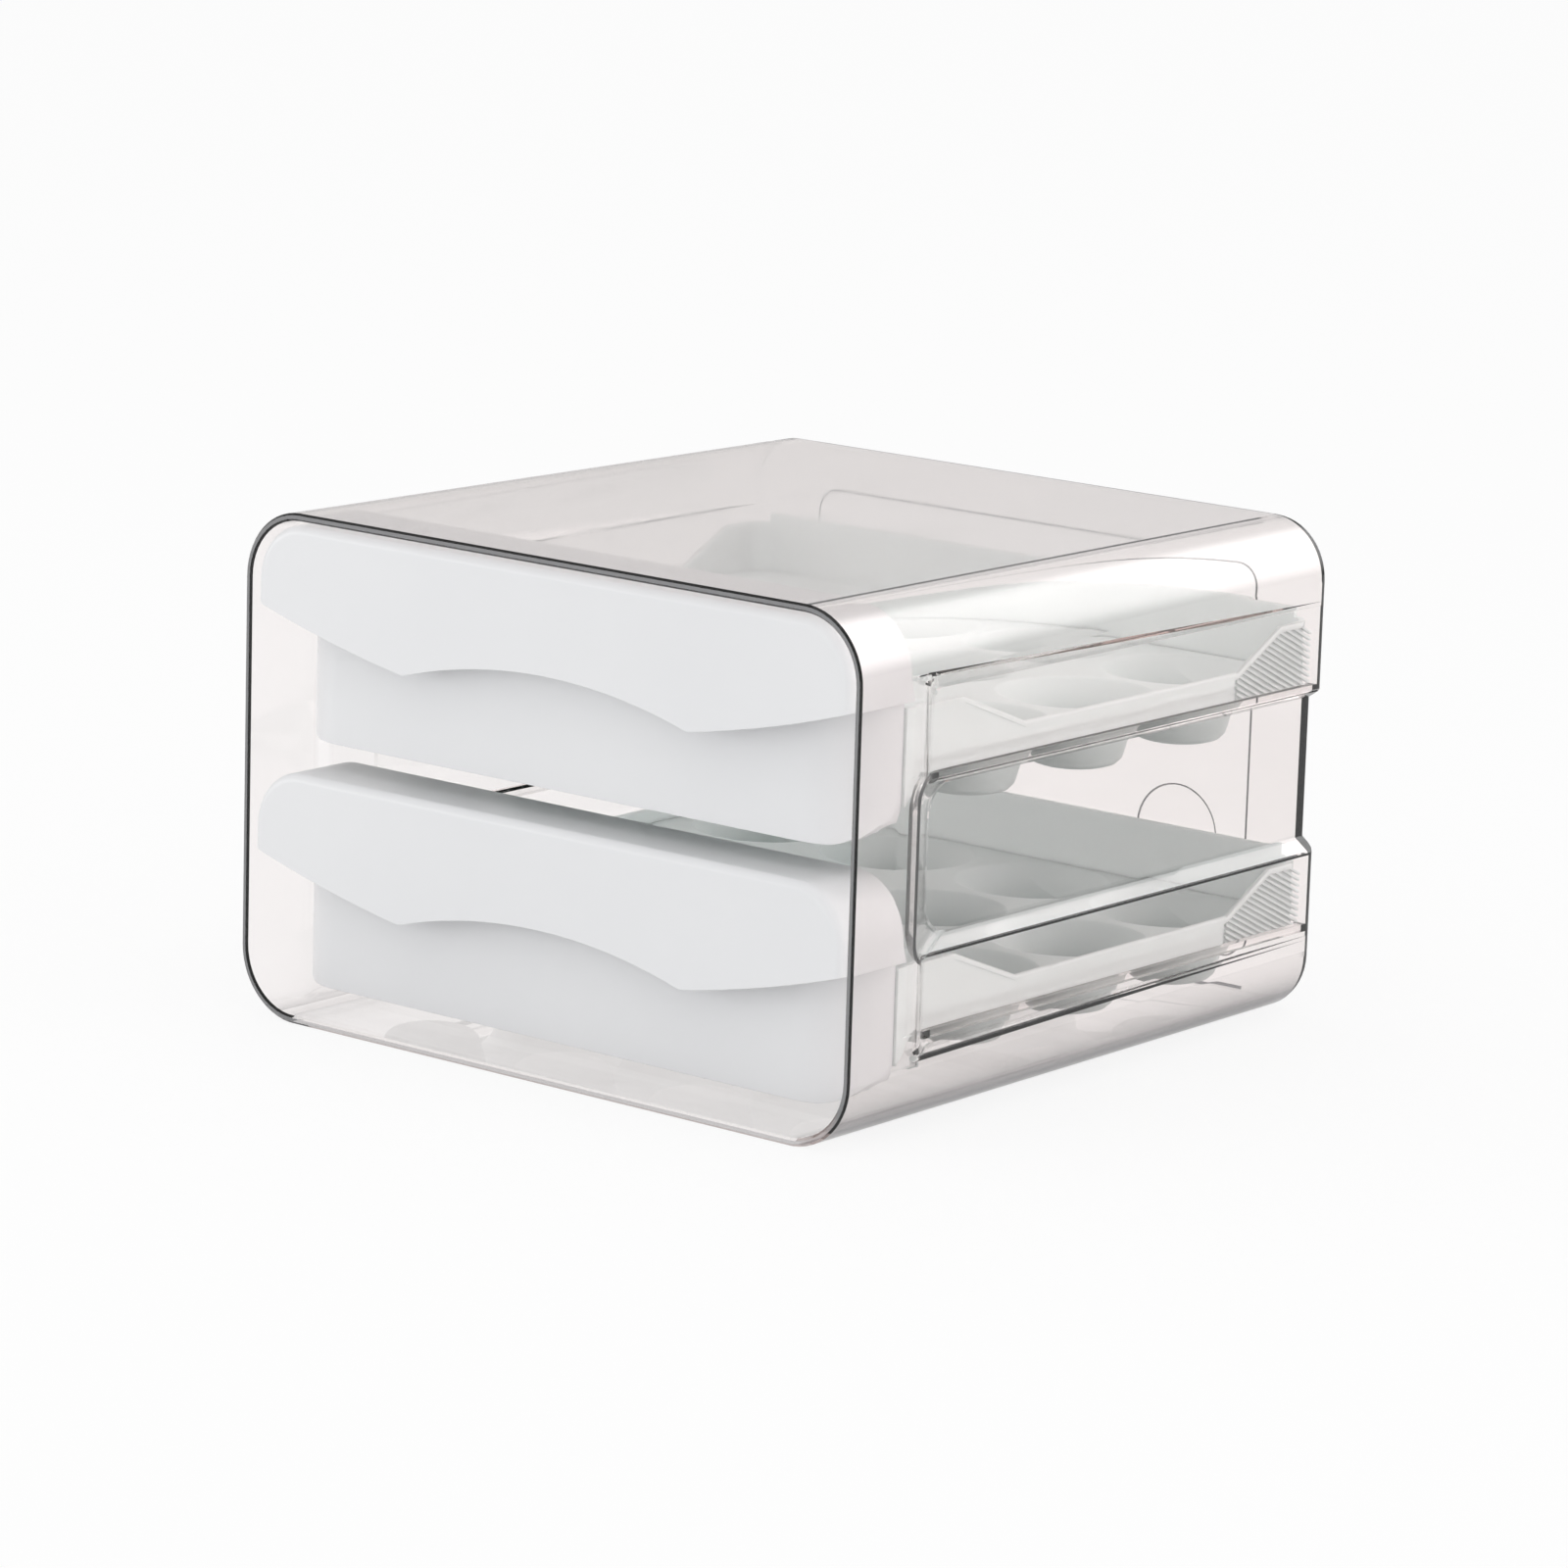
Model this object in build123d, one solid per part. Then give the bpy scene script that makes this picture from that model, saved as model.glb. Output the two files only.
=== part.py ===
from build123d import *
import os
from math import cos, hypot, radians, sin

os.makedirs("parts", exist_ok=True)

# Two-drawer egg box for a refrigerator shelf, in millimetres. One clear case carries two
# egg trays on ledges inside its pressed-in sides. Each tray wears a white front with a
# finger lip. X runs across, Y runs back from the front rim and Z is up.

# Cups and the deck that they hang from
cups_across = 4
cups_deep = 4
egg_pitch = 49.5
cup_sides = 14
cup_mouth = 22.0
cup_waist = 14.0
cup_floor = 11.5
cup_depth = 18.2
cup_foot_bevel = 2.5
deck_top = 30.5
cup_front_margin = 29.9
cup_rear_margin = 26.0
cup_side_margin = 1.4

# Tray walls, with heights above the surface that the lower drawer's case stands on
tray_wall = 1.8
tray_skirt = 27.0
tray_corner = 8.0
skirt_turn = 37.0
skirt_ramp = 15.0
nose_skirt = 12.5
nose_crown_end = 19.8
rim_top = 45.5
rim_dip = 34.9
dip_start = 53.0
dip_fall = 27.5
dip_rise = 20.0
dip_tail = 17.0
rear_crest = 3.0
rear_crest_half = 96.0
rear_crest_depth = 7.0
bead = 1.6
relief = 0.4
relief_margin = 3.0

# Grip ribs at the rear of the tray's sides
rib_count = 9
rib_pitch = 3.0
rib_width = 1.4
rib_slope = 0.48
rib_patch = 38.0
rib_end = 2.0

# White front: a hooded lip over a set-back apron
front_wall = 1.8
apron_setback = 9.5
apron_rear = 28.2
apron_corner = 18.5
apron_low = 9.5
apron_low_corner = 11.0
apron_ease = 0.7
apron_step = 23.8
lip_setback = 0.7
lip_wall = 2.0
lip_rear = 24.8
lip_flare = 2.4
lip_flare_top = 57.0
lip_top = 71.5
lip_edge_round = 2.5
lip_gap = 1.2
wave_end = 48.2
wave_low = 35.0
wave_low_at = 51.0
wave_crest = 42.5
wave_sag = 1.0
hook_drop = 13.0
hook_half = 78.0

# Case
case_wall = 2.2
side_draft = 4.9
top_draft = 1.2
corner_draft = 2.6
rim_corner = 20.0
rim_round = 0.7
back_round = 3.0
back_steps = 3
base_trim = 0.05
drawer_pitch = 70.2
mouth_gap = 1.4
panel_half = 80.0
panel_top = 128.0
panel_low = 12.0
panel_corner = 7.0
panel_sink = 0.5
disc_radius = 14.0
disc_place = 55.5
disc_height = 46.0

# Runner bands and the recess between them, pressed into the case's sides. Around each are
# slopes that run outwards and gain some height and length at the front, bottom and top. The
# bands' front end turns out in three steps, softly at both ends.
band_front = 38.0
band_head = 4.3
band_foot = 3.5
band_corner = 3.0
window_depth = 4.9
window_front = 43.0
window_sill = 2.5
window_corner = 9.0
band_start = {"run": 0.8, "front": 2.8, "bottom": 0.24, "top": 0.92}
band_middle = {"run": 2.4, "front": 4.1, "bottom": 0.72, "top": 2.76}
beyond_band = {"run": 4.8, "front": 16.8, "bottom": 1.44, "top": 5.52}
window_slope = {"run": window_depth, "front": 13.0, "bottom": 3.7, "top": 3.4}
beyond_window = {"run": 8.0, "front": 4.5, "bottom": 6.0, "top": 5.5}

# Ledges that the trays slide on
ledge_width = 3.3
ledge_thick = 2.2
ledge_front = 38.0
ledge_lead = 6.0
ledge_lead_in = 2.0

# Running and seating clearances
slide_gap = 0.7
rear_gap = 0.8
ledge_gap = 0.3
seat_gap = 0.3

# Overrun of every cut past the surface that it opens
over = 1.0

# Places that follow from the sizes above
cup_cone = cup_mouth - cup_waist
nose_front = apron_setback + front_wall + seat_gap
nose_top = lip_top - lip_wall - seat_gap
joggle = apron_rear + seat_gap
first_row = nose_front + cup_front_margin
tray_rear = first_row + (cups_deep - 1) * egg_pitch + cup_rear_margin
tray_half = cups_across * egg_pitch / 2 + cup_side_margin + tray_wall
apron_half = tray_half - apron_ease
nose_half = apron_half - front_wall - seat_gap
nose_corner = apron_corner - front_wall - seat_gap
band_half = tray_half + slide_gap + case_wall
window_half = band_half - window_depth
case_half = band_half + side_draft
case_depth = tray_rear + rear_gap + case_wall
case_height = drawer_pitch + lip_top + mouth_gap + case_wall
lip_half = case_half - side_draft * lip_rear / case_depth - case_wall - lip_gap
lip_corner = rim_corner - case_wall - lip_gap
lip_behind = lip_rear + lip_flare
ledge_top = tray_skirt - ledge_gap

FRONT_VIEW = {"x_dir": (1, 0, 0), "z_dir": (0, -1, 0)}
SIDE_VIEW = {"x_dir": (0, 1, 0), "z_dir": (1, 0, 0)}


def slab(face, low, high):
    """A plan outline made solid between two heights."""
    return extrude(Pos(0, 0, low) * face, high - low)


def through(face, near, far):
    """A front-view outline made solid between two depths."""
    return extrude(Plane(origin=(0, far, 0), **FRONT_VIEW) * face, far - near)


def across(points, half_width):
    """A side-view outline made solid over the whole width."""
    outline = make_face(Polyline(*points, close=True))
    return extrude(Plane(origin=(-half_width, 0, 0), **SIDE_VIEW) * outline, 2 * half_width)


def both_sides(shape):
    """A right-hand shape with its left-hand twin."""
    return [shape, mirror(shape, about=Plane.YZ)]


def plan(half_width, front, rear, corner, rounded_end):
    """Plan outline with its front or its rear corners rounded."""
    face = Pos(0, (front + rear) / 2) * Rectangle(2 * half_width, rear - front)
    along = face.vertices().sort_by(Axis.Y)
    return fillet(along[:2] if rounded_end == "front" else along[2:], corner)


def arch(inset, low):
    """Front view of the lip's hood, drawn in all round by inset, down to the height low."""
    high = lip_top - inset
    face = Pos(0, (low + high) / 2) * Rectangle(2 * (lip_half - inset), high - low)
    return fillet(face.vertices().sort_by(Axis.Y)[2:], lip_corner - inset)


def case_section(depth, inset, drop=0):
    """Rounded front view of the case at one depth. Sides and top draw in, the base is level.

    Drop is how far the outline runs below the base, to be trimmed flat.
    """
    share = depth / case_depth
    width = 2 * (case_half - side_draft * share - inset)
    height = case_height - top_draft * share - 2 * inset + drop
    corner = rim_corner - corner_draft * share - inset
    plane = Plane(origin=(0, depth, inset - drop + height / 2), **FRONT_VIEW)
    return plane * RectangleRounded(width, height, corner)


def foot_shift(grow, run, gain):
    """How far a slope's foot moves when the slope and the flat beside it shift by grow."""
    return grow * (hypot(run, gain) - gain) / run


def pocket_section(half_width, front, bottom, top, corner):
    """Side view of a side pocket at one half-width. It runs out past the case's back."""
    rear = case_depth + over
    face = Pos((front + rear) / 2, (bottom + top) / 2) * Rectangle(rear - front, top - bottom)
    face = fillet(face.vertices().sort_by(Axis.X)[:2], corner)
    return Plane(origin=(half_width, 0, 0), **SIDE_VIEW) * face


def side_pocket(grow, half_width, front, bottom, top, corner, slopes):
    """Solid that presses the right side wall in to half_width, with slopes around it.

    Grown by the wall, the same pocket shapes the wall's inner face.
    """
    run = slopes[0]["run"]
    front -= foot_shift(grow, run, slopes[0]["front"])
    bottom -= foot_shift(grow, run, slopes[0]["bottom"])
    top += foot_shift(grow, run, slopes[0]["top"])
    place = half_width - grow
    sections = [pocket_section(place, front, bottom, top, corner)]
    for slope in slopes:
        place += slope["run"]
        front -= slope["front"]
        bottom -= slope["bottom"]
        top += slope["top"]
        sections.append(pocket_section(place, front, bottom, top, corner))
    return loft(sections, ruled=True)


def band_pocket(grow):
    """Runner bands: the flat faces beside both trays, with a ramped front end."""
    bottom = tray_skirt - band_foot
    top = drawer_pitch + rim_top + band_head
    return side_pocket(grow, band_half, band_front, bottom, top, band_corner,
                       [band_start, band_middle, beyond_band])


def window_pocket(grow):
    """Deep recess between the bands, whose upper slope carries the upper tray's ledge."""
    head = window_slope["top"]
    bottom = rim_top + window_sill + window_slope["bottom"]
    top = drawer_pitch + ledge_top - head - foot_shift(case_wall, window_depth, head)
    return side_pocket(grow, window_half, window_front, bottom, top, window_corner,
                       [window_slope, beyond_window])


def make_case():
    """Clear outer case: open front, closed back, runner bands and recessed sides."""
    stations = [(0, rim_round), (rim_round, 0)]
    for step in range(back_steps + 1):
        turn = radians(90 * step / back_steps)
        depth = case_depth - back_round * (1 - sin(turn))
        stations.append((depth, back_round * (1 - cos(turn))))
    hollow = [(-over, case_wall - rim_round - over), (rim_round, case_wall),
              (case_depth - case_wall, case_wall)]
    outer = loft([case_section(*station, drop=base_trim) for station in stations], ruled=True)
    outer &= through(Pos(0, case_height / 2) * Rectangle(2 * case_half, case_height), 0, case_depth)
    room = loft([case_section(*station) for station in hollow], ruled=True)
    for pocket in (window_pocket, band_pocket):
        outer -= both_sides(pocket(0))
        room -= both_sides(pocket(case_wall))
    shell = outer - room

    for base in (0, drawer_pitch):
        shell += both_sides(make_ledge(base))
    return shell - through(make_panel(), case_depth - panel_sink, case_depth + over)


def make_ledge(base):
    """Right-hand ledge that one tray slides on, grown from the runner band."""
    outer = band_half - case_wall / 2
    inner = band_half - case_wall - ledge_width
    rear = case_depth - case_wall / 2
    outline = Polyline((inner + ledge_lead_in, ledge_front), (outer, ledge_front), (outer, rear),
                       (inner, rear), (inner, ledge_front + ledge_lead), close=True)
    top = base + ledge_top
    return slab(make_face(outline), top - ledge_thick, top)


def make_panel():
    """Sunk panel on the back, around two discs that keep the full thickness."""
    height = panel_top - panel_low
    face = Pos(0, panel_low + height / 2) * RectangleRounded(2 * panel_half, height, panel_corner)
    return face - [Pos(side * disc_place, disc_height) * Circle(disc_radius) for side in (-1, 1)]


def tray_plan(inset):
    """Plan outline of the tray: a box with a narrower nose inside the white front."""
    box = plan(tray_half - inset, joggle + inset, tray_rear - inset, tray_corner - inset, "rear")
    nose = plan(nose_half - inset, nose_front + inset, dip_start, nose_corner - inset, "front")
    return box + nose


def rim_line(drop):
    """Side view of the tray's dipped rim from back to front, lowered by drop."""
    high = rim_top - drop
    low = rim_dip - drop
    rise_end = tray_rear - dip_tail
    return [(rise_end, high), (rise_end - dip_rise, low), (dip_start + dip_fall, low),
            (dip_start, high)]


def cup_solid(levels):
    """One cup as rings of flats, through (radius, height) levels from the deck's top."""
    turns = [radians(360 * side / cup_sides) for side in range(cup_sides)]
    rings = [[(radius * cos(turn), radius * sin(turn), height) for turn in turns]
             for radius, height in levels]
    faces = [Face(Wire.make_polygon(ring)) for ring in (rings[0], rings[-1])]
    for upper, lower in zip(rings, rings[1:]):
        for side in range(cup_sides):
            corners = [upper[side - 1], upper[side], lower[side], lower[side - 1]]
            faces.append(Face(Wire.make_polygon(corners)))
    return Solid(Shell(faces))


def make_grip_ribs():
    """Slanting ribs at the rear of both tray sides, falling towards the back."""
    front = tray_rear - rib_patch
    rear = tray_rear - rib_end
    fall = rib_slope * (rear - front)
    ribs = []
    for number in range(rib_count):
        start = tray_skirt + rib_pitch * (number + 1)
        ribs.append(across([(front, start), (rear, start - fall), (rear, start - fall - rib_width),
                            (front, start - rib_width)], tray_half + over))
    patch = [(front, tray_skirt), (rear, tray_skirt), (rear, rim_top - bead), *rim_line(bead)[:2]]
    return across(patch, tray_half + over) & (ribs[0] + ribs[1:])


def make_tray():
    """Egg tray: dished cups hung from a deck inside a wall with a dipped rim."""
    past_front = nose_front - over
    past_rear = tray_rear + over
    side = across([(past_front, nose_skirt), (skirt_turn - skirt_ramp, nose_skirt),
                   (skirt_turn, tray_skirt), (past_rear, tray_skirt), (past_rear, rim_top),
                   *rim_line(0), (joggle, rim_top), (nose_crown_end, nose_top),
                   (past_front, nose_top)], tray_half + over)
    side &= through(arch(lip_wall + seat_gap, 0), 0, case_depth)

    tall = (nose_skirt - over, nose_top + over)
    walls = slab(tray_plan(relief), *tall) - slab(tray_plan(tray_wall), *tall)
    skin = slab(tray_plan(0), *tall) - slab(tray_plan(relief), *tall)
    sunk_front = joggle + relief_margin
    sunk = across([(sunk_front, tray_skirt - over), (past_rear, tray_skirt - over),
                   (past_rear, rim_top - bead), *rim_line(bead), (sunk_front, rim_top - bead)],
                  tray_half + over)
    tray = (walls & side) + (skin & (side - sunk)) + (skin & make_grip_ribs())
    tray += walls & Pos(0, tray_rear - rear_crest_depth / 2, rim_top) * Box(
        2 * rear_crest_half, rear_crest_depth, 2 * rear_crest)
    tray += slab(tray_plan(relief), deck_top - tray_wall, deck_top)

    slope_skin = hypot(tray_wall, tray_wall)
    inner_cup = cup_solid([
        (cup_mouth + over, over), (cup_waist, -cup_cone), (cup_floor, -cup_depth)])
    outer_cup = cup_solid([
        (cup_mouth + slope_skin - tray_wall / 2, -tray_wall / 2),
        (cup_waist + tray_wall, tray_wall - slope_skin - cup_cone),
        (cup_floor + tray_wall, cup_foot_bevel - cup_depth - tray_wall),
        (cup_floor + tray_wall - cup_foot_bevel, -cup_depth - tray_wall)])
    places = [Pos((column - (cups_across - 1) / 2) * egg_pitch, first_row + row * egg_pitch, deck_top)
              for column in range(cups_across) for row in range(cups_deep)]
    tray += [place * outer_cup for place in places]
    return tray - [place * inner_cup for place in places]


def below_wave():
    """Front view of the room under the lip, up to the lip's waved edge."""
    side_mid = (lip_half + wave_low_at) / 2
    side_height = (wave_low + wave_end) / 2 - wave_sag
    past_side = lip_half + over
    edges = [
        ThreePointArc((-lip_half, wave_end), (-side_mid, side_height), (-wave_low_at, wave_low)),
        ThreePointArc((-wave_low_at, wave_low), (0, wave_crest), (wave_low_at, wave_low)),
        ThreePointArc((wave_low_at, wave_low), (side_mid, side_height), (lip_half, wave_end)),
        Polyline((lip_half, wave_end), (past_side, wave_end), (past_side, 0), (-past_side, 0),
                 (-past_side, wave_end), (-lip_half, wave_end)),
    ]
    return make_face(Curve() + edges)


def make_front():
    """White front of one drawer: lip and apron in one piece, hooked over the tray's nose."""
    hood = through(arch(0, wave_low - over), lip_setback, lip_behind)
    rim = hood.edges().group_by(Axis.Y)[0].filter_by(lambda edge: edge.center().Z > wave_low)
    hood = fillet(rim, lip_edge_round)
    hood -= through(arch(lip_wall, 0), lip_setback + lip_wall, lip_behind + over)
    hood -= through(below_wave(), -over, lip_behind + over)
    flare_foot = (lip_behind, wave_end - over)
    flare_head = (lip_rear, lip_flare_top)
    flare = Polyline(flare_foot, (lip_behind, lip_top + over), (lip_rear, lip_top + over), flare_head)
    flare = make_face(flare + TangentArc(flare_head, flare_foot, tangent=(0, -1)))
    hood -= extrude(Plane(origin=(-case_half, 0, 0), **SIDE_VIEW) * flare, 2 * case_half)

    inside = plan(apron_half - front_wall, apron_setback + front_wall, apron_rear + over,
                  apron_corner - front_wall, "front")
    apron = slab(plan(apron_half, apron_setback, apron_rear, apron_corner, "front"), apron_low, lip_top)
    apron -= slab(inside, apron_low - over, lip_top + over)
    lower = Pos(0, (apron_low + wave_end) / 2) * Rectangle(2 * apron_half, wave_end - apron_low)
    lower = fillet(lower.vertices().sort_by(Axis.Y)[:2], apron_low_corner)
    apron &= through(lower + arch(lip_wall / 2, wave_low), 0, apron_rear)
    step_top = rim_top + bead
    apron -= across([(apron_step, lip_top), (apron_step, step_top), (apron_rear + over, step_top),
                     (apron_rear + over, lip_top)], case_half)

    hook_middle = nose_front + tray_wall + seat_gap + front_wall / 2
    hook = Pos(0, hook_middle, lip_top - lip_wall / 2 - hook_drop / 2) * Box(
        2 * hook_half, front_wall, hook_drop)
    return hood + apron + hook


def save(name, shape):
    """Write one piece with the origin at the middle of the case's underside."""
    export_step(Pos(0, -case_depth / 2, 0) * shape, f"parts/{name}.step")


tray = make_tray()
front = make_front()
save("case_shell", make_case())
for drawer, lift in (("lower", 0), ("upper", drawer_pitch)):
    save(f"{drawer}_tray", Pos(0, 0, lift) * tray)
    save(f"{drawer}_front", Pos(0, 0, lift) * front)
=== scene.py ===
import bpy
from math import cos, hypot, radians, sin
from mathutils import Euler, Matrix, Vector


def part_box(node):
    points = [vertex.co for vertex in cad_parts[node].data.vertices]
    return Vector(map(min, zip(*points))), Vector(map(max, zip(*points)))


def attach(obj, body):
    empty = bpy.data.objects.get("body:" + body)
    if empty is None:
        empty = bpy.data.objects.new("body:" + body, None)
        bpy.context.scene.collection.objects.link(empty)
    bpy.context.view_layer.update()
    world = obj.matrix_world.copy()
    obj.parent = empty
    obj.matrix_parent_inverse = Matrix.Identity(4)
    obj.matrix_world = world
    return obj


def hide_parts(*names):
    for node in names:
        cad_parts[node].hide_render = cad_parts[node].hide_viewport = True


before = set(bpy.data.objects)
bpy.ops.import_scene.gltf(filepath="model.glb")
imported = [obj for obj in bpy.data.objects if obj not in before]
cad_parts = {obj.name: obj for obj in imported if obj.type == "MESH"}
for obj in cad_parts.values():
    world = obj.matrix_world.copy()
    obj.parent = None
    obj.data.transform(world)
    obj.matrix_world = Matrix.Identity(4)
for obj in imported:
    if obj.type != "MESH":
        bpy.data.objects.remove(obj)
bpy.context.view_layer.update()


# Clear case: one injection-moulded shell of crystal-clear plastic, open at the front, with
# runner bands and a deep recess pressed into each side. It is polished inside and out, so
# what shows of it is its edges and the light that slides along its shoulders.

class Wire:
    """What comes out of a node. Sums and products of it add Math nodes to its finish."""

    def __init__(self, finish, socket):
        self.finish = finish
        self.socket = socket

    def maths(self, operation, first, second=0):
        return self.finish.node("ShaderNodeMath", {"operation": operation}, {0: first, 1: second})

    def __add__(self, other):
        return self.maths("ADD", self, other)

    def __sub__(self, other):
        return self.maths("SUBTRACT", self, other)

    def __rsub__(self, other):
        return self.maths("SUBTRACT", other, self)

    def __mul__(self, other):
        return self.maths("MULTIPLY", self, other)

    def __pow__(self, other):
        return self.maths("POWER", self, other)

    def __rpow__(self, other):
        return self.maths("POWER", other, self)

    def __abs__(self):
        return self.maths("ABSOLUTE", self)

    def __lt__(self, other):
        return self.maths("LESS_THAN", self, other)

    def __gt__(self, other):
        return self.maths("GREATER_THAN", self, other)

    __radd__ = __add__
    __rmul__ = __mul__


class Finish:
    """A material, or the studio's light, built up from nodes and ending at its output."""

    def __init__(self, name, shelf=bpy.data.materials):
        self.made = shelf.new(name)
        self.made.use_nodes = True
        self.made.node_tree.nodes.clear()

    def node(self, kind, settings, values, out=0):
        """Add a node: its settings first, then a value or a wire for each of its sockets."""
        node = self.made.node_tree.nodes.new(kind)
        for name, value in settings.items():
            setattr(node, name, value)
        for name, value in values.items():
            if isinstance(value, Wire):
                self.made.node_tree.links.new(value.socket, node.inputs[name])
            else:
                node.inputs[name].default_value = value
        return Wire(self, node.outputs[out]) if node.outputs else None

    def blend(self, share, first, second):
        """One colour going over into another."""
        return self.node("ShaderNodeMix", {"data_type": "RGBA"},
                         {0: share, 6: first, 7: second}, out=2)

    def place(self):
        """The spot on the object, and its three distances from the object's origin."""
        spot = self.node("ShaderNodeTexCoord", {}, {}, out="Object")
        return spot, *(self.node("ShaderNodeSeparateXYZ", {}, {"Vector": spot}, out=axis)
                       for axis in "XYZ")

    def ray(self, kind):
        """What sort of ray asks for this finish."""
        return self.node("ShaderNodeLightPath", {}, {}, out=kind)

    def cover(self, **shaders):
        end = "World" if isinstance(self.made, bpy.types.World) else "Material"
        self.node("ShaderNodeOutput" + end, {}, shaders)


def between(wire, low, high):
    """1 where a value lies between two others, and 0 elsewhere."""
    return (wire > low) * (wire < high)


def select_only(piece):
    """Make a piece the one that the next operator works on."""
    bpy.ops.object.select_all(action="DESELECT")
    bpy.context.view_layer.objects.active = piece
    piece.select_set(True)


def work(piece, kind, **settings):
    """Add a modifier to a piece, set it and apply it."""
    select_only(piece)
    step = piece.modifiers.new(kind.lower(), kind)
    for name, value in settings.items():
        setattr(step, name, value)
    bpy.ops.object.modifier_apply(modifier=step.name)


def moulded_copy(node, name, finish):
    """The moulding as drawn, its facets joined into whole faces."""
    piece = bpy.data.objects.new(name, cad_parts[node].data.copy())
    bpy.context.scene.collection.objects.link(piece)
    select_only(piece)
    bpy.ops.mesh.customdata_custom_splitnormals_clear()
    bpy.ops.object.mode_set(mode="EDIT")
    bpy.ops.mesh.select_all(action="SELECT")
    bpy.ops.mesh.remove_doubles(threshold=0.000002)
    bpy.ops.mesh.dissolve_limited(angle_limit=radians(0.4))
    bpy.ops.object.mode_set(mode="OBJECT")
    piece.data.materials.clear()
    piece.data.materials.append(finish.made)
    return piece


def pick(piece, kind, test):
    """In edit mode, select the vertices, edges or faces whose corner points pass a test."""
    bpy.ops.mesh.select_mode(type=kind)
    bpy.ops.mesh.select_all(action="DESELECT")
    bpy.ops.object.mode_set(mode="OBJECT")
    mesh = piece.data
    for item in {"VERT": mesh.vertices, "EDGE": mesh.edges, "FACE": mesh.polygons}[kind]:
        corners = [item.index] if kind == "VERT" else item.vertices
        item.select = test([mesh.vertices[corner].co for corner in corners])
    bpy.ops.object.mode_set(mode="EDIT")


def pick_open_edges():
    """In edit mode, select the edges at which the skin isn't closed."""
    bpy.ops.mesh.select_mode(type="EDGE")
    bpy.ops.mesh.select_all(action="DESELECT")
    bpy.ops.mesh.select_non_manifold()


def smooth(piece, turn):
    """Shade rounded faces smooth, and let the flat ones keep their flat shading."""
    select_only(piece)
    bpy.ops.object.shade_smooth_by_angle(angle=radians(turn))
    work(piece, "WEIGHTED_NORMAL", keep_sharp=True, weight=100)


def hand_over(piece, body, node):
    """Put a finished piece on its body, in the place of its node."""
    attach(piece, body)
    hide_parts(node)


(_, front_rim, _), (case_half, back, case_top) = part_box("case_shell")
case_depth = back - front_rim
case_wall = 0.0022
hair, near = 0.00001, 0.0001
plastic_ior = 1.5
# Share of painted grey shade on the front rim's faces, in place of the grey line that the clear
# edge shows.
painted_rim_share = 0.55

# The back's sunk panel and its two discs: thin dark lines of painted shade at the panel's step,
# where the light is bent away.
panel_sink = 0.0005
panel_half, panel_low, panel_high = 0.0801, 0.0119, 0.1281
step_half, step_ease = 0.0815, 0.00002
painted_step_shade = (0.05, 0.05, 0.055, 1)

# The lower outer corners get painted shade where their rounded foot would show the darker table
# under the case. All that is seen at a slant is darkened too, partly for its longer path through
# the wall and partly as painted shade along the edges.
foot_half, foot_height = 0.0945, 0.019
slant_power, slant_share = 10, 0.22
wall_colour = (0.99, 0.976, 0.973, 1)
painted_edge_shade = (0.06, 0.06, 0.065, 1)

clear = Finish("clear_polystyrene")
spot, across, depth, height = clear.place()
scuff = clear.node("ShaderNodeTexNoise", {}, {
    "Vector": spot, "Scale": 60, "Detail": 4, "Roughness": 0.6})
haze = clear.node("ShaderNodeMapRange", {}, {
    "Value": scuff, "From Min": 0.35, "From Max": 0.75, "To Min": 0.005, "To Max": 0.035})
# Painted shade: a dark line painted on the walls of the back panel's step.
painted_step_line = (between(depth, back - panel_sink + step_ease, back - step_ease)
             * between(across, -step_half, step_half))
turned = clear.node("ShaderNodeLayerWeight", {}, {"Blend": 0.5}, out="Facing")
foot_turn = clear.node("ShaderNodeMapRange", {"interpolation_type": "SMOOTHSTEP"}, {
    "Value": turned, "From Min": 0.36, "From Max": 0.8})
# Painted shade on the lower outer corners, strongest where they turn away from the view, and
# painted shade at a slant.
painted_foot_shade = foot_turn * (height < foot_height) * (abs(across) > foot_half)
slant = turned ** slant_power * slant_share
wall_with_painted_shade = clear.blend(painted_foot_shade + slant, wall_colour, painted_edge_shade)
glass = clear.node("ShaderNodeBsdfPrincipled", {}, {
    "Base Color": clear.blend(painted_step_line, wall_with_painted_shade, painted_step_shade), "Roughness": haze,
    "IOR": plastic_ior, "Transmission Weight": 1.0})
# Painted shade: the front rim's faces are partly an opaque grey, standing in for the grey line
# that the clear edge shows.
painted_rim_grey = clear.node("ShaderNodeBsdfPrincipled", {}, {
    "Base Color": (0.42, 0.42, 0.43, 1), "Roughness": 0.25, "IOR": plastic_ior})
edged = clear.node("ShaderNodeMixShader", {}, {
    0: (depth < front_rim + near) * painted_rim_share, 1: glass, 2: painted_rim_grey})
lamp_way = clear.node("ShaderNodeBsdfTransparent", {}, {"Color": (0.95, 0.95, 0.95, 1)})
body_tint = clear.node("ShaderNodeVolumeAbsorption", {}, {
    "Color": (0.72, 0.60, 0.57, 1), "Density": 58.0})
clear.cover(Surface=clear.node("ShaderNodeMixShader", {}, {
    0: clear.ray("Is Shadow Ray"), 1: edged, 2: lamp_way}), Volume=body_tint)

case = moulded_copy("case_shell", "clear_case", clear)
bpy.ops.object.mode_set(mode="EDIT")
pick(case, "EDGE", lambda corners: abs(corners[0].y - corners[1].y) < 0.000001 and all(
    point.y > back - panel_sink - hair and abs(point.x) < panel_half
    and panel_low < point.z < panel_high for point in corners))
bpy.ops.mesh.bevel(offset=0.0003, segments=2, affect="EDGES")

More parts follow.
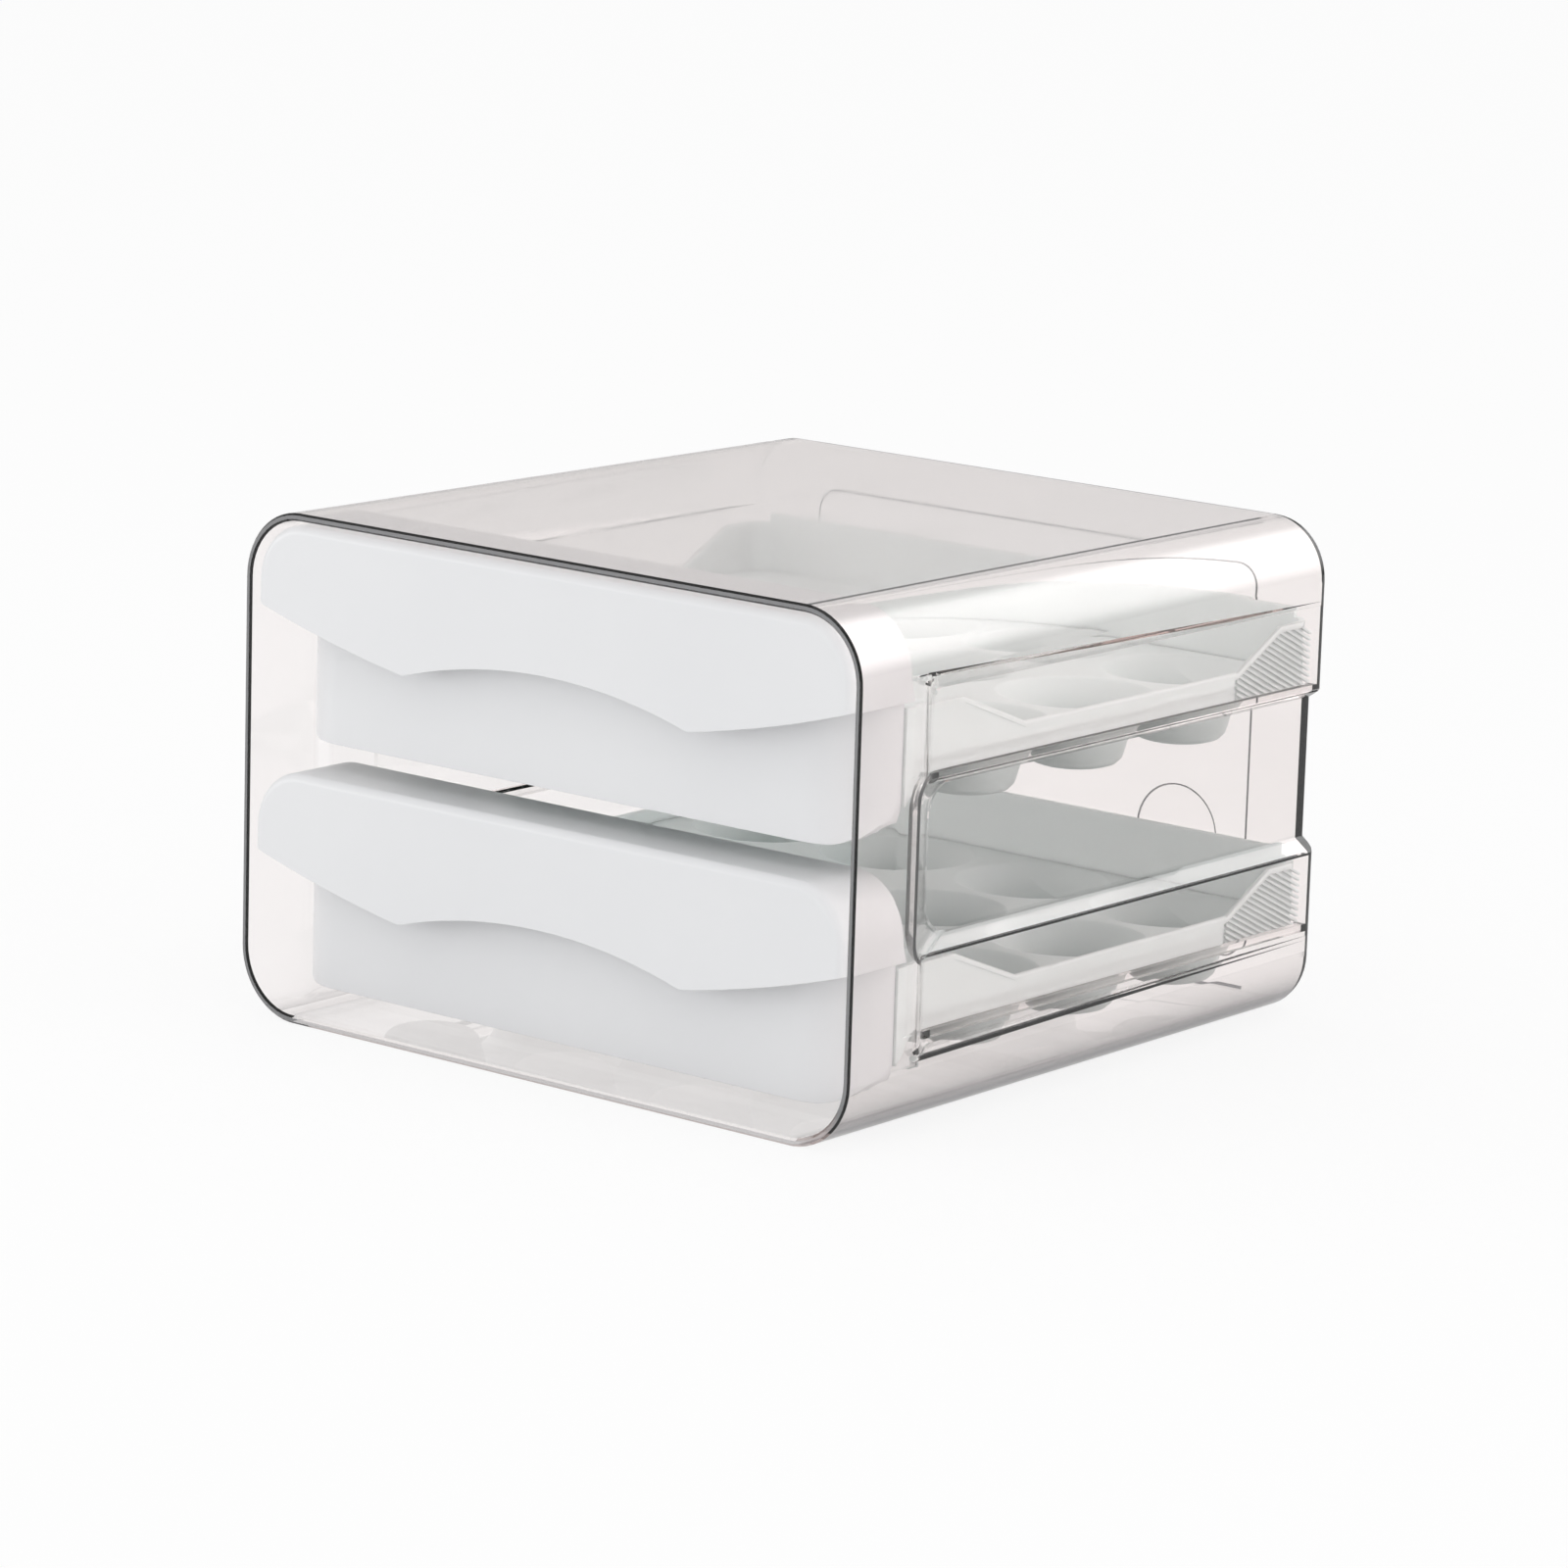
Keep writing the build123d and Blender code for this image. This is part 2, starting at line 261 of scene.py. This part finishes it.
# Slices across the case keep its long faces short, so that their shading stays even.
slices = 36
for cut in range(1, slices):
    bpy.ops.mesh.select_all(action="SELECT")
    bpy.ops.mesh.bisect(plane_co=(0, front_rim + cut * case_depth / slices, 0), plane_no=(0, 1, 0))
bpy.ops.object.mode_set(mode="OBJECT")
smooth(case, 20)

# The rounded corners and the bands' front ends, inside and out, are shaded from their true
# curve. The long slopes beside the bands keep the flat shading of each face.
corner_radius, corner_draft = 0.020, 0.0026
side_draft, top_draft, base_drop = 0.0049, 0.0012, 0.00005
band_half, band_top = 0.1051, 0.118
easing_front, easing_rear = 0.016, 0.05
easing_rise = [(0.0143, 0.008), (0.0311, 0.0032), (0.0352, 0.0008), (0.038, 0)]
easing_lean = [(0.018, 1.3), (0.024, 6), (0.029, 20), (0.0332, 27), (0.0366, 16), (0.041, 3),
               (0.046, 0)]
side_zone = 0.09
sloped_from, level_along = 0.12, 0.2
corner_match, over_band_match = 0.94, 0.8


def corner_slope(point):
    """Way out of the case's rounded corner at a point, and how far the point stands proud."""
    share = (point.y - front_rim) / case_depth
    radius = corner_radius - corner_draft * share
    side, end = (1 if point.x > 0 else -1), (1 if point.z > case_top / 2 else -1)
    middle_x = case_half - side_draft * share - radius
    middle_z = case_top - top_draft * share - radius if end > 0 else radius - base_drop
    out_x, out_z = side * point.x - middle_x, end * (point.z - middle_z)
    away = hypot(out_x, out_z)
    if out_x < -2 * hair or out_z < -2 * hair or away < 0.001:
        return None, 0
    end_draft = top_draft if end > 0 else 0
    rise = ((side_draft - corner_draft) * out_x / away
            + (end_draft - corner_draft) * out_z / away + corner_draft)
    slope = Vector((side * out_x / away, rise / case_depth, end * out_z / away))
    return slope.normalized(), away - radius


def rise_at(line, along):
    """Height of a line through points at one place along it, level past its ends."""
    if along <= line[0][0]:
        return line[0][1]
    for (start, low), (end, high) in zip(line, line[1:]):
        if along <= end:
            return low + (high - low) * (along - start) / (end - start)
    return line[-1][1]


def easing_slope(point):
    """Way out of the side where it eases into a band's front end, and how proud the point is."""
    along = point.y - front_rim
    flank = case_half - side_draft * along / case_depth
    reach = min(band_half + rise_at(easing_rise, along), flank)
    lean = radians(rise_at(easing_lean, along))
    side = 1 if point.x > 0 else -1
    return Vector((side * cos(lean), sin(lean), 0)), side * point.x - reach


def off_skin(proud):
    """How far a point is from both the outer and the inner face of the wall."""
    return min(abs(proud), abs(proud + case_wall))


mesh = case.data
shading = [normal.vector.copy() for normal in mesh.corner_normals]
for face in mesh.polygons:
    shape, least_match = corner_slope, corner_match
    slope, proud = corner_slope(face.center)
    sloped = abs(face.normal.z) > sloped_from
    if slope is not None and sloped and face.center.z > band_top:
        least_match = over_band_match
    elif slope is None or off_skin(proud) > near:
        if sloped and abs(face.center.x) > side_zone and abs(face.normal.y) < level_along:
            for loop in face.loop_indices:
                shading[loop] = face.normal.copy()
        shape = easing_slope
        slope, proud = easing_slope(face.center)
        eased = easing_front < face.center.y - front_rim < easing_rear
        if sloped or not eased or off_skin(proud) > 3 * near:
            continue
    match = slope.dot(face.normal)
    if abs(match) < least_match:
        continue
    for loop in face.loop_indices:
        slope = shape(mesh.vertices[mesh.loops[loop].vertex_index].co)[0]
        if slope is not None:
            shading[loop] = slope if match > 0 else -slope
mesh.normals_split_custom_set(shading)
hand_over(case, "case", "case_shell")


# Egg trays: pale grey-green mouldings, one behind each front, with sixteen dished cups hung
# from a deck. A wall with a rolled rim runs round the deck and dips along both sides, and
# grip ribs fill the high corner behind each dip.

(_, _, tray_foot), (wall_face, _, _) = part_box("lower_tray")
tray_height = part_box("upper_tray")[0][2] - tray_foot
tray_skin = 0.0018
rear_crest = 0.0485
deck_top = 0.0305
deck_half = 0.0986
deck_front = front_rim + 0.0125
cup_pitch = 0.0495
cups_each_way = 4
first_cup = (-1.5 * cup_pitch, front_rim + 0.0415)
cup_mouth = 0.0231
cup_profile = [(0.0226, -0.00015), (0.0219, -0.0006), (0.0207, -0.0017), (0.0180, -0.0043),
               (0.0158, -0.0064), (0.0146, -0.0078), (0.0139, -0.0094), (0.0132, -0.0122),
               (0.0124, -0.0152), (0.0119, -0.0168), (0.0110, -0.0177), (0.0095, -0.0182)]
drawn_mouth = 0.0239
rib_front, rib_rear = front_rim + 0.1785, front_rim + 0.214

# The cups and the grooves between the ribs lie in their own shade, and the plastic lets a
# little light through its thin walls. The upper tray is finished as the lower one is.
shade_colour = (0.50, 0.54, 0.535, 1)
cups_half, cups_front, cups_rear = 0.0965, front_rim + 0.015, back - 0.0145
groove_floor, groove_mouth, groove_share = 0.1010, 0.1019, 0.5


def mould_grain(finish, spot, scale, strength, reach):
    """The fine grain that a mould's face leaves on the plastic."""
    grain = finish.node("ShaderNodeTexNoise", {}, {
        "Vector": spot, "Scale": scale, "Detail": 3, "Roughness": 0.5})
    return finish.node("ShaderNodeBump", {}, {
        "Strength": strength, "Distance": reach, "Height": grain}, out="Normal")


def mould_flow(finish, spot, scale, tones, shines):
    """Colour and roughness that change slowly, the way the plastic flowed into its mould."""
    flow = finish.node("ShaderNodeTexNoise", {}, {
        "Vector": spot, "Scale": scale, "Detail": 3, "Roughness": 0.55})
    shine = finish.node("ShaderNodeMapRange", {}, {
        "Value": flow, "To Min": shines[0], "To Max": shines[1]})
    return finish.blend(flow, *tones), shine


pale = Finish("pale_tray_plastic")
spot, across, depth, height = pale.place()
texture = mould_grain(pale, spot, 900, 0.06, 0.0003)
tone, shine = mould_flow(pale, spot, 22, ((0.815, 0.875, 0.868, 1), (0.855, 0.91, 0.902, 1)),
                         (0.28, 0.42))
sunk = deck_top - (height - (height > tray_height) * tray_height)
cup_shade = pale.node("ShaderNodeMapRange", {"interpolation_type": "SMOOTHSTEP"}, {
    "Value": sunk, "From Min": 0.0012, "From Max": 0.016, "To Max": 0.75})
cup_shade = cup_shade * (abs(across) < cups_half) * between(depth, cups_front, cups_rear)
groove = between(abs(across), groove_floor, groove_mouth) * (depth > rib_front) * groove_share
pale.cover(Surface=pale.node("ShaderNodeBsdfPrincipled", {}, {
    "Base Color": pale.blend(cup_shade + groove, tone, shade_colour), "Roughness": shine,
    "IOR": plastic_ior, "Normal": texture, "Subsurface Weight": 0.6,
    "Subsurface Radius": (1.0, 1.0, 1.0), "Subsurface Scale": 0.003}))

walls = moulded_copy("lower_tray", "lower_egg_tray", pale)


def in_cup_floor(corners):
    """Whether a face belongs to the drawn deck or its cups, which get rounder ones here."""
    if any(point.z > deck_top + 2 * hair for point in corners):
        return False
    for level in (deck_top, deck_top - tray_skin):
        if all(abs(point.z - level) < 2 * hair for point in corners):
            return True
    for point in corners:
        out = [point[axis] - first_cup[axis] for axis in (0, 1)]
        if hypot(*(way - round(way / cup_pitch) * cup_pitch for way in out)) > drawn_mouth:
            return False
    return True


bpy.ops.object.mode_set(mode="EDIT")
pick(walls, "FACE", in_cup_floor)
bpy.ops.mesh.delete(type="FACE")
pick_open_edges()
bpy.ops.mesh.bridge_edge_loops()

# The rims of the side walls and the rear wall's crest are rolled over.
side_rim = [(0.032, 0.0455), (0.053, 0.0455), (0.0805, 0.0349), (0.179, 0.0349),
            (0.199, 0.0455), (0.21, 0.0455)]
side_wall_inside = 0.1003
rim_roll = 0.0007


def on_rolled_rim(corners):
    """Whether an edge runs along a side wall's rim or along the rear wall's crest."""
    if min(point.z for point in corners) > rear_crest - near and corners[0].y > 0:
        return True
    for point in corners:
        along = point.y - front_rim
        if abs(point.x) < side_wall_inside or not side_rim[0][0] <= along <= side_rim[-1][0]:
            return False
        if abs(point.z - rise_at(side_rim, along)) > near:
            return False
    return abs(corners[0].x - corners[1].x) < hair


pick(walls, "EDGE", on_rolled_rim)
bpy.ops.mesh.bevel(offset=rim_roll, segments=3, affect="EDGES")
bpy.ops.object.mode_set(mode="OBJECT")

# One cell of the deck: a square border, bridged to a round mouth that is drawn down through
# the cup's rings to its floor. The cell is then repeated four by four.
bpy.ops.object.select_all(action="DESELECT")
bpy.ops.mesh.primitive_grid_add(x_subdivisions=12, y_subdivisions=12, size=cup_pitch,
                                location=(*first_cup, deck_top))
deck = bpy.context.object
bpy.ops.object.transform_apply(location=True)
bpy.ops.object.mode_set(mode="EDIT")
cell_half = cup_pitch / 2 - near
pick(deck, "VERT", lambda corners: max(
    abs(corners[0].x - first_cup[0]), abs(corners[0].y - first_cup[1])) < cell_half)
bpy.ops.mesh.delete(type="VERT")
bpy.ops.mesh.primitive_circle_add(vertices=48, radius=cup_mouth, location=(*first_cup, deck_top))
bpy.ops.mesh.select_mode(type="EDGE")
bpy.ops.mesh.select_all(action="SELECT")
bpy.ops.mesh.bridge_edge_loops()
pick(deck, "EDGE", lambda corners: all(
    abs(hypot(point.x - first_cup[0], point.y - first_cup[1]) - cup_mouth) < 5 * hair
    for point in corners))
ring, sunk_to = cup_mouth, 0.0
for next_ring, next_sunk in cup_profile:
    bpy.ops.mesh.extrude_edges_move(TRANSFORM_OT_translate={"value": (0, 0, next_sunk - sunk_to)})
    bpy.ops.transform.resize(value=(next_ring / ring, next_ring / ring, 1),
                             center_override=(*first_cup, deck_top + next_sunk))
    ring, sunk_to = next_ring, next_sunk
bpy.ops.mesh.extrude_edges_move(TRANSFORM_OT_translate={"value": (0, 0, 0)})
bpy.ops.mesh.merge(type="CENTER")
bpy.ops.object.mode_set(mode="OBJECT")
for step in ((cup_pitch, 0, 0), (0, cup_pitch, 0)):
    work(deck, "ARRAY", count=cups_each_way, use_relative_offset=False, use_constant_offset=True,
         constant_offset_displace=step, use_merge_vertices=True, merge_threshold=hair)

# The deck runs on to the nose in front, and at the sides and the rear it is let into the
# walls. Its corners follow the bends of the wall.
nose_corner, nose_radius, nose_turns = (0.083, front_rim + 0.028), 0.0155, (15, 30, 45, 60, 75)
rear_corner, rear_radius, rear_turns = (0.0942, front_rim + 0.208), 0.0071, (22.5, 45, 67.5)
cell_front = first_cup[1] - cup_pitch / 2
wall_front = front_rim + 0.029
let_in = 0.0026


def trim(spot, away, fill=False):
    """Cut off what lies past a plane that faces away from the rest."""
    bpy.ops.mesh.select_all(action="SELECT")
    bpy.ops.mesh.bisect(plane_co=spot, plane_no=away, clear_outer=True, use_fill=fill)


def round_corner(side, end, middle, radius, turns):
    """Trim a corner of the deck along short flats that follow the wall's bend."""
    for turn in turns:
        away = (side * cos(radians(turn)), end * sin(radians(turn)), 0)
        trim((side * middle[0] + radius * away[0], middle[1] + radius * away[1], deck_top), away)


bpy.ops.object.mode_set(mode="EDIT")
pick(deck, "EDGE", lambda corners: all(point.y < cell_front + near for point in corners))
bpy.ops.mesh.extrude_edges_move(TRANSFORM_OT_translate={"value": (0, deck_front - cell_front, 0)})
for side in (-1, 1):
    trim((side * deck_half, 0, deck_top), (side, 0, 0))
    round_corner(side, -1, nose_corner, nose_radius, nose_turns)
for side in (-1, 1):
    pick(deck, "EDGE", lambda corners: all(
        side * point.x > deck_half - near and point.y > wall_front for point in corners))
    bpy.ops.mesh.extrude_edges_move(TRANSFORM_OT_translate={"value": (side * let_in, 0, 0)})
    round_corner(side, 1, rear_corner, rear_radius, rear_turns)
bpy.ops.mesh.select_all(action="SELECT")
bpy.ops.mesh.remove_doubles(threshold=hair)
bpy.ops.mesh.normals_make_consistent(inside=False)
bpy.ops.object.mode_set(mode="OBJECT")
if deck.data.polygons[0].normal.z < 0:
    deck.data.flip_normals()
work(deck, "SOLIDIFY", thickness=tray_skin, offset=-1, use_even_offset=True)
deck.data.materials.append(pale.made)

# Grip ribs: the drawn ones are planed off, and finer ones with eased edges are set in their
# place. They fall towards the rear and end at the slanting bead in front.
rib_low, rib_high = 0.0272, 0.0439
rib_pitch, rib_half, rib_fall, rib_count = 0.00176, 0.00045, 0.48, 19
rib_ease, rib_let_in, rib_spare = 0.0003, 0.0004, 0.01
rib_root = 0.1014
bead_foot, bead_climb = (front_rim + 0.179, 0.0333), 0.53
plane_spare, shaving = 0.001, 0.00003


def plank(side, inner, outer, low, high):
    """A block on one side of the tray, between two faces and two corners seen from the side."""
    low, high = (min(side * inner, side * outer), *low), (max(side * inner, side * outer), *high)
    bpy.ops.object.select_all(action="DESELECT")
    bpy.ops.mesh.primitive_cube_add(size=1, location=[(a + b) / 2 for a, b in zip(low, high)],
                                    scale=[b - a for a, b in zip(low, high)])
    bpy.ops.object.transform_apply(location=True, scale=True)
    bpy.ops.object.mode_set(mode="EDIT")
    return bpy.context.object


for side in (-1, 1):
    plane = plank(side, rib_root, wall_face + plane_spare,
                  (rib_front - plane_spare, rib_low - plane_spare),
                  (rib_rear + plane_spare / 2, rib_high - shaving))
    trim((0, bead_foot[0], bead_foot[1] - shaving), (0, -bead_climb, 1), fill=True)
    bpy.ops.object.mode_set(mode="OBJECT")
    work(walls, "BOOLEAN", operation="DIFFERENCE", solver="EXACT", object=plane)
    bpy.data.objects.remove(plane)

# At the nose's right corner three points stand in one line, which leaves a seam to close.
bpy.ops.object.mode_set(mode="EDIT")
pick_open_edges()
bpy.ops.mesh.edge_face_add()
bpy.ops.mesh.select_mode(type="VERT")
bpy.ops.object.mode_set(mode="OBJECT")

parts = [walls, deck]
for side in (-1, 1):
    bar = plank(side, rib_root - rib_let_in, wall_face, (rib_front - rib_spare, -rib_half),
                (rib_rear + rib_spare, rib_half))
    pick(bar, "EDGE", lambda corners: abs(corners[0].z - corners[1].z) < hair and all(
        abs(point.x) > wall_face - hair for point in corners))
    bpy.ops.mesh.bevel(offset=rib_ease, segments=2, affect="EDGES")
    pick(bar, "VERT", lambda corners: corners[0].y > rib_rear)
    fall = rib_fall * (rib_rear - rib_front + 2 * rib_spare)
    bpy.ops.transform.translate(value=(0, 0, -fall))
    bpy.ops.mesh.select_all(action="SELECT")
    bpy.ops.transform.translate(value=(0, 0, rib_low + rib_fall * rib_spare))
    bpy.ops.object.mode_set(mode="OBJECT")
    work(bar, "ARRAY", count=rib_count, use_relative_offset=False, use_constant_offset=True,
         constant_offset_displace=(0, 0, rib_pitch))
    bpy.ops.object.mode_set(mode="EDIT")
    for spot, away in (((0, rib_front, 0), (0, -1, 0)), ((0, rib_rear, 0), (0, 1, 0)),
                       ((0, 0, rib_low), (0, 0, -1)), ((0, 0, rib_high), (0, 0, 1)),
                       ((0, *bead_foot), (0, -bead_climb, 1))):
        trim(spot, away, fill=True)
    bpy.ops.object.mode_set(mode="OBJECT")
    bar.data.materials.append(pale.made)
    parts.append(bar)

select_only(walls)
for part in parts:
    part.select_set(True)
bpy.ops.object.join()
smooth(walls, 32)
bpy.ops.object.duplicate()
raised = bpy.context.object
raised.name = "upper_egg_tray"
raised.location.z = tray_height
bpy.ops.object.transform_apply(location=True)
hand_over(walls, "lower_drawer", "lower_tray")
hand_over(raised, "upper_drawer", "upper_tray")


# White fronts: satin white mouldings, a hooded lip with a waved finger edge over an apron
# that is set back under it. Each hooks over the nose of its tray.

front_ease = 0.0007

white = Finish("satin_white_plastic")
spot = white.node("ShaderNodeTexCoord", {}, {}, out="Object")
texture = mould_grain(white, spot, 1100, 0.05, 0.0002)
tone, shine = mould_flow(white, spot, 16, ((0.79, 0.795, 0.81, 1), (0.83, 0.835, 0.845, 1)),
                         (0.26, 0.36))
white.cover(Surface=white.node("ShaderNodeBsdfPrincipled", {}, {
    "Base Color": tone, "Roughness": shine, "IOR": plastic_ior, "Normal": texture}))
for drawer in ("upper", "lower"):
    front = moulded_copy(f"{drawer}_front", f"{drawer}_white_front", white)
    work(front, "BEVEL", width=front_ease, segments=3, limit_method="ANGLE",
         angle_limit=radians(40))
    smooth(front, 35)
    hand_over(front, f"{drawer}_drawer", f"{drawer}_front")


# Floor: a plain white surface that shows the background's white to the camera, and in the
# case's own mirrorings and bendings of it, and keeps the box's soft shadow.

seen_white, mirrored_white, bent_white = 0.86, 0.5, 0.45

bpy.ops.object.select_all(action="DESELECT")
bpy.ops.mesh.primitive_plane_add(size=8, location=(0, 0, 0))
floor = bpy.context.object
floor.name = "floor"
ground = Finish("white_floor")
lit = ground.node("ShaderNodeBsdfDiffuse", {}, {"Color": (0.9, 0.9, 0.9, 1)})
paper = ground.node("ShaderNodeEmission", {}, {"Color": (1, 1, 1, 1), "Strength": 1})
seen = (ground.ray("Is Camera Ray") * seen_white + ground.ray("Is Glossy Ray") * mirrored_white
        + ground.ray("Is Transmission Ray") * bent_white)
direct = 1 - (ground.ray("Diffuse Depth") > 0.5)
ground.cover(Surface=ground.node("ShaderNodeMixShader", {}, {0: seen * direct, 1: lit, 2: paper}))
floor.data.materials.append(ground.made)


# Studio: a pale tent all round, with four broad, soft lamps. Mirrorings also see a brighter
# zone behind and above, which draws the light along the case's shoulders, and light that
# reaches the trays through the case gets back what the clear walls take.

tent_light, shown_gain, mirrored_loss = 0.86, 0.14, 0.22
within_gain, level_power = 1.5, 3
shoulder_way = Vector((0.38, 0.76, 0.52)).normalized()

studio = Finish("studio", bpy.data.worlds)
bpy.context.scene.world = studio.made
through, mirrored = studio.ray("Is Transmission Ray"), studio.ray("Is Glossy Ray")
shown = studio.node("ShaderNodeMath", {"operation": "MAXIMUM"}, {
    0: studio.ray("Is Camera Ray"), 1: through})
within = through * studio.node("ShaderNodeMath", {"operation": "MINIMUM"}, {
    0: studio.ray("Diffuse Depth"), 1: 1})
heading = studio.node("ShaderNodeTexCoord", {}, {}, out="Generated")
upward = studio.node("ShaderNodeSeparateXYZ", {}, {"Vector": heading}, out="Z")
towards = studio.node("ShaderNodeVectorMath", {"operation": "DOT_PRODUCT"}, {
    0: heading, 1: shoulder_way}, out="Value")
glow = studio.node("ShaderNodeMapRange", {"interpolation_type": "SMOOTHERSTEP"}, {
    "Value": towards, "From Min": 0.80, "From Max": 1.0, "To Max": 2.6})
light_level = (tent_light + shown * shown_gain - mirrored * mirrored_loss
               + within * (1 - abs(upward)) ** level_power * within_gain + glow * mirrored)
studio.cover(Surface=studio.node("ShaderNodeBackground", {}, {
    "Color": (1, 1, 1, 1), "Strength": light_level}))

for name, place, turn, size, power in (
        ("ceiling_lamp", (0.1, -0.2, 1.3), (10, 0, 0), (1.2, 1.2), 1.9),
        ("left_lamp", (-1.2, -0.95, 0.27), (82, 0, -52), (0.9, 0.45), 2.9),
        ("right_lamp", (1.35, -0.5, 0.55), (70, 0, 70), (0.8, 0.6), 0.3),
        ("side_lamp", (1.3, 0.1, 0.24), (81, 0, 94), (0.7, 0.4), 1.9)):
    lamp = bpy.data.lights.new(name, "AREA")
    lamp.shape = "RECTANGLE"
    lamp.size, lamp.size_y = size
    lamp.energy = power
    light = bpy.data.objects.new(name, lamp)
    light.location = place
    light.rotation_euler = [radians(angle) for angle in turn]
    light.visible_camera = False
    bpy.context.scene.collection.objects.link(light)

bpy.context.scene.view_settings.view_transform = "Standard"


# Camera: a long lens from the right of the front and a little above, at the height and turn
# that lay the case's corners over the photograph's.

stand = (1.104476, -1.371125, 0.445891)
pitch, yaw, roll = radians(90 - 12.146), radians(38.932), radians(1.743)

eye = bpy.data.cameras.new("camera")
eye.lens = 145.96
eye.clip_start = 0.1
eye.clip_end = 50
camera = bpy.data.objects.new("camera", eye)
turn = Euler((pitch, 0, yaw)).to_matrix() @ Matrix.Rotation(roll, 3, "Z")
camera.matrix_world = Matrix.LocRotScale(stand, turn, None)
bpy.context.scene.collection.objects.link(camera)
bpy.context.scene.camera = camera

bpy.context.view_layer.update()
